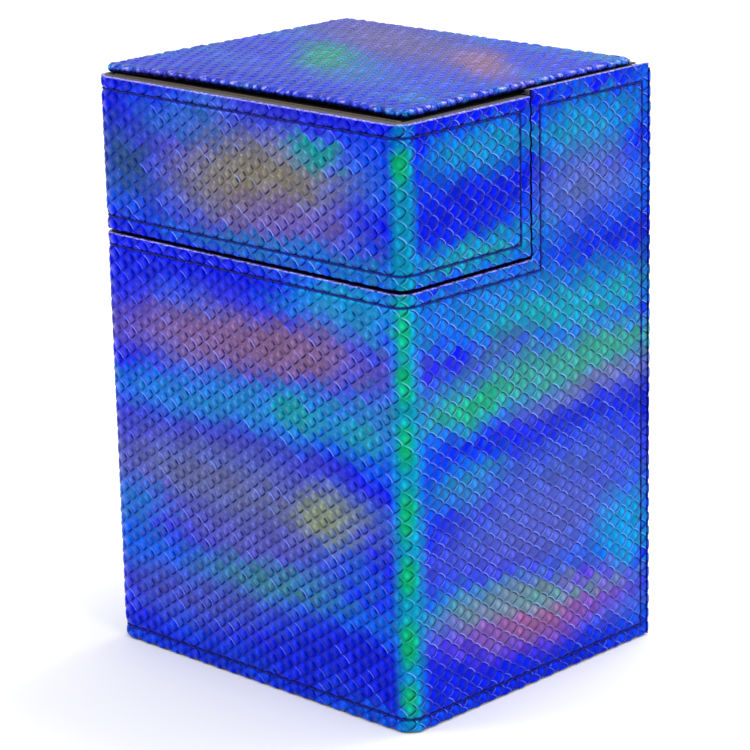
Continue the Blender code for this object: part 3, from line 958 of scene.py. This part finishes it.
class DECKBOX_OT_skirt_cover(bpy.types.Operator):
    """Wrap the leatherette round the lid's skirt."""

    bl_idname = "deck_box.skirt_cover"
    bl_label = "Skirt cover"

    def execute(self, context):
        start = REAR - SKIRT_REAR
        end = WRAP_END - start
        low, high = (start, SKIRT_BOTTOM), (end, SKIRT_TOP)
        sheet = cut_flat("skirt_cover", low, high, folds=corner_folds(LEFT_END, FRONT_END))
        finish(sheet, "leatherette", "film", "cut_paint")
        mark_rim(sheet)
        emboss(sheet, rectangle(low, high), skirt_rows(), on_wall)
        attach(sheet, "lid")
        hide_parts("lid_skirt_cover")
        return {"FINISHED"}


class DECKBOX_OT_back_cover(bpy.types.Operator):
    """Lay the leatherette on the back."""

    bl_idname = "deck_box.back_cover"
    bl_label = "Back cover"

    def execute(self, context):
        low, high = (WRAP_END, FOOT), (WRAP_END + 2 * HALF_WIDTH, WALL_TOP)
        sheet = cut_flat("back_leatherette", low, high)
        finish(sheet, "leatherette")
        emboss(sheet, rectangle(low, high), back_rows(), on_back, edge_radius=0.4)
        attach(sheet, "box")
        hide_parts("back_cover")
        return {"FINISHED"}


def corner_pull(x, y, inner_low, inner_high):
    """Split plan places into a point of the inner rectangle, a direction out of it and a reach.

    Square corners are drawn in to round ones, so that every row of the sheet follows the outline.
    """
    base_x = np.clip(x, inner_low[0], inner_high[0])
    base_y = np.clip(y, inner_low[1], inner_high[1])
    out_x, out_y = x - base_x, y - base_y
    reach = np.maximum(np.abs(out_x), np.abs(out_y))
    length = np.hypot(out_x, out_y)
    safe = np.where(length > 1e-9, length, 1)
    return base_x, base_y, out_x / safe, out_y / safe, reach


def roll_edges(x, y, n, low, high, radius, roll, up):
    """Fold a flat sheet over the edges of a plate whose plan runs from low to high.

    radius is the plan radius of its corners, roll the radius of the rolled edge, n the height over
    the sheet's face.  Returns places, with the face at height 0 and up telling which way it faces.
    """
    inner_low = (low[0] + radius, low[1] + radius)
    inner_high = (high[0] - radius, high[1] - radius)
    base_x, base_y, dir_x, dir_y, reach = corner_pull(x, y, inner_low, inner_high)
    bend_start = radius - roll
    over = reach - bend_start
    angle = np.clip(over / roll, 0, math.pi)
    under = np.maximum(over - math.pi * roll, 0)
    out = np.minimum(reach, bend_start) + (roll + n) * np.sin(angle) - under
    z = -roll + (roll + n) * np.cos(angle)
    return np.stack([base_x + dir_x * out, base_y + dir_y * out, up * z], axis=-1)


class DECKBOX_OT_top_cover(bpy.types.Operator):
    """Fold the leatherette over the top panel's board, puckered along its rolled edge."""

    bl_idname = "deck_box.top_cover"
    bl_label = "Top cover"

    def execute(self, context):
        low, high = (millimetres(corner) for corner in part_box("top_cover"))
        low, high = low - (0.5, 0.9, 0), high + (0.5, 0, 0)
        radius, roll, turn = 2.7, 0.92, 1.9
        spare = math.pi * roll + turn - roll
        sheet = cut_flat("top_leatherette", low - spare, high + spare)
        finish(sheet, "leatherette")
        mesh = sheet.data
        co = read_points(mesh)
        x, y = co[:, 0], co[:, 1]
        face_side = co[:, 2] > -0.01
        # The sheet is cut across the roll here, so its scales lie the other way round.
        a, b = scale_coordinates(y + 400, 1.12 * x + 200)
        mesh.uv_layers[0].name = "sheet"
        middle_y = (low[1] + high[1]) / 2
        keep_map(mesh, "sheet", TOP_MAP[0] + x, TOP_MAP[1] + y - middle_y)
        keep_map(mesh, "scales", a, b)
        edge_x = np.minimum(x - low[0], high[0] - x)
        edge_y = np.minimum(y - low[1], high[1] - y)
        inside = np.minimum(edge_x, edge_y)
        near_edge = np.exp(-(((inside + 0.2) / 2.0) ** 2))
        along = np.where(edge_x < edge_y, y, x)
        swell = np.sin(along * 1.7 + 1.2 * np.sin(along * 0.9))
        crimp = np.sin(along * 2.1 + 1.5 * np.sin(along * 0.63) + 0.7 * inside)
        crimp += 0.35 * np.sin(along * 6.7)
        crease = smooth_step(-crimp, 0.55, 1.1)
        relief = 0.7 * sizes().relief / MM * (scale_height(a, b) - 0.9) * (1 - 0.6 * near_edge)
        n = relief + near_edge * (0.08 * swell + 0.05 * crimp - 0.05 - 0.28 * crease)
        # Painted highlight on the crests of the puckers, and painted shade under the roll and in the
        # creases.
        tuck = 0.65 + 0.35 * np.sin(along * 11.3 + 3.0 * inside)
        crest_highlight = near_edge * smooth_step(crimp, -0.3, 0.7) * tuck * smooth_step(inside, -0.7, 0.0)
        shaded = np.maximum(smooth_step(-inside, 0.1, 0.9), 0.9 * near_edge * crease)
        keep_map(mesh, "marks", crest_highlight, shaded)
        n = np.where(face_side, n, -0.5)
        places = roll_edges(x, y, n, low, high, radius, roll, 1)
        droop = smooth_step(np.abs(x), 22, high[0]) * smooth_step(-y, 8, -low[1])
        places[:, 2] += high[2] - 0.45 * droop
        # The left front corner of the sheet is pulled out to a blunt ear.
        ear = smooth_step(-x, 0, -low[0]) * smooth_step(-y, 0, -low[1])
        places[:, 0] -= 2.3 * ear
        places[:, 1] -= 1.0 * ear**2
        write_points(mesh, places * MM)
        select_only(sheet)
        bpy.ops.object.shade_smooth_by_angle(angle=math.radians(60))
        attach(sheet, "lid")
        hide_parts("top_cover")
        return {"FINISHED"}


class DECKBOX_OT_base_cover(bpy.types.Operator):
    """Lay the leatherette on the underside."""

    bl_idname = "deck_box.base_cover"
    bl_label = "Base cover"

    def execute(self, context):
        low, high = (millimetres(corner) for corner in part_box("base_cover"))
        inset = 0.75
        low, high = low + inset, high - inset
        radius, roll = CORNER - inset, 0.4
        spare = (math.pi / 2 - 1) * roll
        sheet = cut_flat("base_leatherette", low - spare, high + spare)
        finish(sheet, "leatherette")
        mesh = sheet.data
        co = read_points(mesh)
        x, y = co[:, 0], co[:, 1]
        face_side = co[:, 2] > -0.01
        a, b = scale_coordinates(x + 600, y + 300)
        mesh.uv_layers[0].name = "sheet"
        keep_map(mesh, "sheet", TOP_MAP[0] + 200 + x, TOP_MAP[1] + y)
        keep_map(mesh, "scales", a, b)
        keep_map(mesh, "marks", 0 * x, 0 * x)
        relief = 0.8 * sizes().relief / MM * (scale_height(a, b) - 1.15)
        n = np.where(face_side, relief, -0.6)
        places = roll_edges(x, y, n, low, high, radius, roll, -1)
        write_points(mesh, places * MM)
        select_only(sheet)
        bpy.ops.object.mode_set(mode="EDIT")
        bpy.ops.mesh.select_all(action="SELECT")
        bpy.ops.mesh.flip_normals()
        bpy.ops.object.mode_set(mode="OBJECT")
        bpy.ops.object.shade_smooth_by_angle(angle=math.radians(60))
        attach(sheet, "box")
        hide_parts("base_cover")
        return {"FINISHED"}


def block(name, low, high):
    """A plain block from its low corner to its high one."""
    bpy.ops.object.select_all(action="DESELECT")
    bpy.ops.mesh.primitive_cube_add(size=1)
    piece = new_piece(name)
    piece.scale = [b - a for a, b in zip(low, high)]
    piece.location = [(a + b) / 2 for a, b in zip(low, high)]
    bpy.ops.object.transform_apply(location=True, scale=True)
    return piece


def soften(piece, width, segments):
    """Round a piece's edges."""
    bevel = piece.modifiers.new("soften", "BEVEL")
    bevel.width = width
    bevel.segments = segments
    bpy.ops.object.modifier_apply(modifier=bevel.name)


def bead(name, low, high, radius=0.22, step=2.0):
    """A painted edge: a bar in flat coordinates with rounded edges, divided so that it can wrap.

    low and high are corners in s, t and n.
    """
    bar = block(name, low, high)
    thinnest = min(b - a for a, b in zip(low, high))
    soften(bar, min(radius, 0.45 * thinnest), 3)
    bpy.ops.object.mode_set(mode="EDIT")
    for axis in (0, 1):
        cuts = np.arange(low[axis] + step, high[axis] - 0.5 * step, step)
        if axis == 0:
            folds = [f for f in corner_folds(LEFT_END, FRONT_END) if low[0] < f < high[0]]
            cuts = [c for c in cuts if not LEFT_END < c < FRONT_START and not FRONT_END < c < RIGHT_START]
            cuts = sorted([*cuts, *folds])
        normal = tuple(float(axis == i) for i in range(3))
        for place in cuts:
            bpy.ops.mesh.select_all(action="SELECT")
            bpy.ops.mesh.bisect(plane_co=[place * k for k in normal], plane_no=normal)
    bpy.ops.object.mode_set(mode="OBJECT")
    return bar


def wrap_piece(piece, place=on_wall):
    co = read_points(piece.data)
    write_points(piece.data, place(co[:, 0], co[:, 1], co[:, 2]) * MM)


def join(name, pieces):
    bpy.ops.object.select_all(action="DESELECT")
    for piece in pieces:
        piece.select_set(True)
    bpy.context.view_layer.objects.active = pieces[0]
    if len(pieces) > 1:
        bpy.ops.object.join()
    return new_piece(name)


class DECKBOX_OT_edge_paint(bpy.types.Operator):
    """Paint the raw edges of the boards where the lid parts from the body."""

    bl_idname = "deck_box.edge_paint"
    bl_label = "Edge paint"

    def execute(self, context):
        film = -0.72
        skirt_in, wall_in, head_in = -2.6, -2.75, -2.1
        proud, raised, sunk, lap = 0.10, 0.85, 0.7, 0.05
        left, right = REAR - SKIRT_REAR, WRAP_END - REAR + SKIRT_REAR
        low, top = SKIRT_BOTTOM, SKIRT_TOP
        # Name, then where the bead starts and ends along the walls, up them and outwards.
        lid = (
            ("skirt_foot", left - lap, right + lap, low - proud, low + sunk, skirt_in),
            ("skirt_head", left - lap, right + lap, top - sunk, top + proud, skirt_in),
            ("skirt_left", left - proud, left + sunk, low, top, skirt_in),
            ("skirt_right", right - sunk, right + proud, low, top, skirt_in),
        )
        left, right = seam_places()
        rear = float(REAR - BODY_HIGH[1]) + 1.6
        low, top = SHOULDER - sunk, WALL_TOP
        body = (
            ("shoulder", left, right, low, SHOULDER + proud, wall_in),
            ("upright_left", left - sunk, left + proud, low, top, wall_in),
            ("upright_right", right - proud, right + sunk, low, top, wall_in),
            ("head_left", rear, left + proud, top - sunk, top + raised, head_in),
            ("head_right", right - proud, WRAP_END - rear, top - sunk, top + raised, head_in),
        )
        lid, body = (
            [bead(name, (a, c, inner), (b, d, film)) for name, a, b, c, d, inner in plans]
            for plans in (lid, body)
        )
        for piece in lid + body:
            wrap_piece(piece)
        start, end = WRAP_END + 0.5, WRAP_END + 2 * HALF_WIDTH - 0.5
        head = bead("head_back", (start, WALL_TOP - sunk, wall_in), (end, WALL_TOP + proud, film))
        wrap_piece(head, on_back)
        groups = (
            ("skirt_head_paint", lid[1:2], "lid", "paint"),
            ("skirt_cut_paint", lid[:1] + lid[2:], "lid", "cut_paint"),
            ("body_head_paint", body[3:] + [head], "box", "paint"),
            ("body_cut_paint", body[:3], "box", "cut_paint"),
        )
        for name, pieces, rides, kind in groups:
            paint = join(name, pieces)
            finish(paint, kind)
            bpy.ops.object.shade_smooth_by_angle(angle=math.radians(40))
            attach(paint, rides)
        return {"FINISHED"}


def stitches(name, rows_and_places):
    """Sew rows of stitches: one stitch is modelled once and copied along every row."""
    bpy.ops.object.select_all(action="DESELECT")
    bpy.ops.mesh.primitive_uv_sphere_add(segments=8, ring_count=6, radius=0.5)
    stitch = new_piece(name)
    mesh = stitch.data
    shape = read_points(mesh)
    faces = [tuple(polygon.vertices) for polygon in mesh.polygons]
    thread = sizes().thread / MM
    pitch = sizes().stitch_pitch / MM
    points, all_faces = [], []
    for rows, place in rows_and_places:
        for (s0, t0), (s1, t1) in rows:
            length = math.hypot(s1 - s0, t1 - t0)
            count = max(1, round(length / pitch))
            step = length / count
            along = np.array([s1 - s0, t1 - t0]) / length
            aside = np.array([-along[1], along[0]])
            for i in range(count):
                middle = np.array([s0, t0]) + along * step * (i + 0.5)
                flat = middle + np.outer(shape[:, 2] * step * 1.04, along)
                flat = flat + np.outer(shape[:, 0] * thread, aside)
                dip = 0.5 * thread * (2 * shape[:, 2]) ** 4
                n = -0.36 + shape[:, 1] * thread - dip
                all_faces += [tuple(k + len(points) * len(shape) for k in face) for face in faces]
                points.append(place(flat[:, 0], flat[:, 1], n))
    mesh.clear_geometry()
    mesh.from_pydata((np.concatenate(points) * MM).tolist(), [], all_faces)
    bpy.ops.object.shade_smooth()
    finish(stitch, "thread")
    return stitch


class DECKBOX_OT_stitching(bpy.types.Operator):
    """Sew the rows of stitches along the edges."""

    bl_idname = "deck_box.stitching"
    bl_label = "Stitching"

    def execute(self, context):
        body = stitches("body_stitching", [(body_rows(), on_wall), (back_rows(), on_back)])
        lid = stitches("skirt_stitching", [(skirt_rows(), on_wall)])
        for piece, rides in ((body, "box"), (lid, "lid")):
            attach(piece, rides)
        return {"FINISHED"}


def lined_sheet(name, node, body, radius=0.25, over=0.0):
    """A stiff sheet covered with suede, at the place of a CAD node, with soft rounded edges.

    over is how far its front stands over the magnets that are set into it.
    """
    low, high = (millimetres(corner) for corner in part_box(node))
    low[1] -= over
    piece = block(name, low, high)
    soften(piece, radius, 4)
    write_points(piece.data, read_points(piece.data) * MM)
    bpy.ops.object.shade_smooth_by_angle(angle=math.radians(40))
    finish(piece, "suede")
    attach(piece, body)
    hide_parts(node)
    return piece


class DECKBOX_OT_linings(bpy.types.Operator):
    """Line the inside: the neck, the floor, the skirt and the lid."""

    bl_idname = "deck_box.linings"
    bl_label = "Linings"

    def execute(self, context):
        for side in ("front", "left", "right", "back"):
            over = 0.06 if side == "front" else 0.0
            lined_sheet(f"neck_{side}_sheet", f"neck_{side}", "box", 0.4, over)
        pad = lined_sheet("floor_pad_suede", "floor_pad", "box", 0.4)
        low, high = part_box("lid_base_lining")
        lining = lined_sheet("lid_base_suede", "lid_base_lining", "lid", 0.15)
        start, end = REAR - SKIRT_REAR, WRAP_END - REAR + SKIRT_REAR
        low, high = (start, SKIRT_BOTTOM + 0.1, -2.6), (end, SKIRT_TOP - 0.1, -2.2)
        skirt = bead("skirt_suede", low, high, 0.15, 4.0)
        wrap_piece(skirt)
        bpy.ops.object.shade_smooth_by_angle(angle=math.radians(40))
        finish(skirt, "suede")
        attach(skirt, "lid")
        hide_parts("lid_skirt_lining")
        return {"FINISHED"}


class DECKBOX_OT_hinge(bpy.types.Operator):
    """The flexible hinge strip over the back wall, made as a block finely divided across its depth; the
    real strip bends as the lid opens.
    """

    bl_idname = "deck_box.hinge"
    bl_label = "Hinge strip"

    def execute(self, context):
        low, high = (millimetres(corner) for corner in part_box("hinge_strip"))
        low[1] -= 0.5
        strip = block("hinge_leatherette", low, high)
        step = 0.25
        bpy.ops.object.mode_set(mode="EDIT")
        for place in np.arange(low[1] + step, high[1], step):
            bpy.ops.mesh.select_all(action="SELECT")
            bpy.ops.mesh.bisect(plane_co=(0, place, 0), plane_no=(0, 1, 0))
        bpy.ops.object.mode_set(mode="OBJECT")
        write_points(strip.data, read_points(strip.data) * MM)
        finish(strip, "suede")
        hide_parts("hinge_strip")
        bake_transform(strip)
        return {"FINISHED"}


class DECKBOX_OT_inner_parts(bpy.types.Operator):
    """Finish the boards and magnets that the frame brings."""

    bl_idname = "deck_box.inner_parts"
    bl_label = "Boards and magnets"

    def execute(self, context):
        for name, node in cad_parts.items():
            if node.hide_render:
                continue
            kind = "nickel" if "magnet" in name else "black_paper" if name == "lid_base" else "board"
            finish(node, kind)
        return {"FINISHED"}


class DECKBOX_OT_stage(bpy.types.Operator):
    """Set up the floor, the soft studio light and the camera."""

    bl_idname = "deck_box.stage"
    bl_label = "Stage"

    def execute(self, context):
        scene = context.scene
        scene.view_settings.view_transform = "Standard"
        bpy.ops.object.select_all(action="DESELECT")
        bpy.ops.mesh.primitive_plane_add(size=8)
        floor = new_piece("floor")
        floor.location.z = -0.0002
        bpy.ops.object.transform_apply(location=True)
        material, tree, shader = new_material("matt_studio_paper")
        shader.inputs["Base Color"].default_value = to_linear("#F4F4F4")
        shader.inputs["Roughness"].default_value = 0.9
        shader.inputs["Specular IOR Level"].default_value = 0.1
        floor.data.materials.append(material)

        world = bpy.data.worlds.new("studio")
        world.use_nodes = True
        background = world.node_tree.nodes["Background"]
        background.inputs["Color"].default_value = (1, 1, 1, 1)
        background.inputs["Strength"].default_value = 0.9
        scene.world = world

        for name, place, size, power in (
            ("key_light", (-0.55, -0.75, 0.75), 0.5, 4.0),
            ("side_light", (0.9, -0.1, 0.6), 0.5, 3.0),
            ("top_light", (0.1, 0.5, 0.9), 0.6, 5.0),
        ):
            light = bpy.data.lights.new(name, "AREA")
            light.size = size
            light.energy = power
            lamp = bpy.data.objects.new(name, light)
            lamp.location = place
            aim = Vector((0, 0, 0.06)) - Vector(place)
            lamp.rotation_euler = aim.to_track_quat("-Z", "Y").to_euler()
            scene.collection.objects.link(lamp)

        lens = bpy.data.cameras.new("camera")
        lens.lens = 146.85
        lens.sensor_width = 36.0
        lens.clip_start = 0.01
        camera = bpy.data.objects.new("camera", lens)
        turn = Matrix.Rotation(math.radians(44.06), 4, "Z")
        tip = Matrix.Rotation(math.radians(90 - 16.22), 4, "X")
        roll = Matrix.Rotation(math.radians(-1.256), 4, "Z")
        camera.matrix_world = Matrix.Translation((0.4359, -0.4512, 0.2414)) @ turn @ tip @ roll
        scene.collection.objects.link(camera)
        scene.camera = camera
        return {"FINISHED"}


class DECKBOX_PT_panel(bpy.types.Panel):
    """The deck box's steps, in the order in which they are made."""

    bl_label = "Deck Box"
    bl_idname = "DECKBOX_PT_panel"
    bl_space_type = "VIEW_3D"
    bl_region_type = "UI"
    bl_category = "Deck Box"

    def draw(self, context):
        column = self.layout.column()
        for group in (context.scene.deck_box_sizes, context.scene.deck_box_colours):
            for name in type(group).__annotations__:
                column.prop(group, name)
        for operator in OPERATORS:
            column.operator(operator.bl_idname)


OPERATORS = (
    DECKBOX_OT_stage,
    DECKBOX_OT_body_covers,
    DECKBOX_OT_skirt_cover,
    DECKBOX_OT_back_cover,
    DECKBOX_OT_top_cover,
    DECKBOX_OT_base_cover,
    DECKBOX_OT_edge_paint,
    DECKBOX_OT_stitching,
    DECKBOX_OT_linings,
    DECKBOX_OT_hinge,
    DECKBOX_OT_inner_parts,
)
CLASSES = (DeckBoxSizes, DeckBoxColours, *OPERATORS, DECKBOX_PT_panel)


def register():
    for item in CLASSES:
        bpy.utils.register_class(item)
    bpy.types.Scene.deck_box_sizes = bpy.props.PointerProperty(type=DeckBoxSizes)
    bpy.types.Scene.deck_box_colours = bpy.props.PointerProperty(type=DeckBoxColours)


def unregister():
    del bpy.types.Scene.deck_box_colours
    del bpy.types.Scene.deck_box_sizes
    for item in reversed(CLASSES):
        bpy.utils.unregister_class(item)


def main():
    register()
    bpy.ops.deck_box.stage()
    bpy.ops.deck_box.body_covers()
    bpy.ops.deck_box.skirt_cover()
    bpy.ops.deck_box.back_cover()
    bpy.ops.deck_box.top_cover()
    bpy.ops.deck_box.base_cover()
    bpy.ops.deck_box.edge_paint()
    bpy.ops.deck_box.stitching()
    bpy.ops.deck_box.linings()
    bpy.ops.deck_box.hinge()
    bpy.ops.deck_box.inner_parts()


if __name__ == "__main__":
    main()
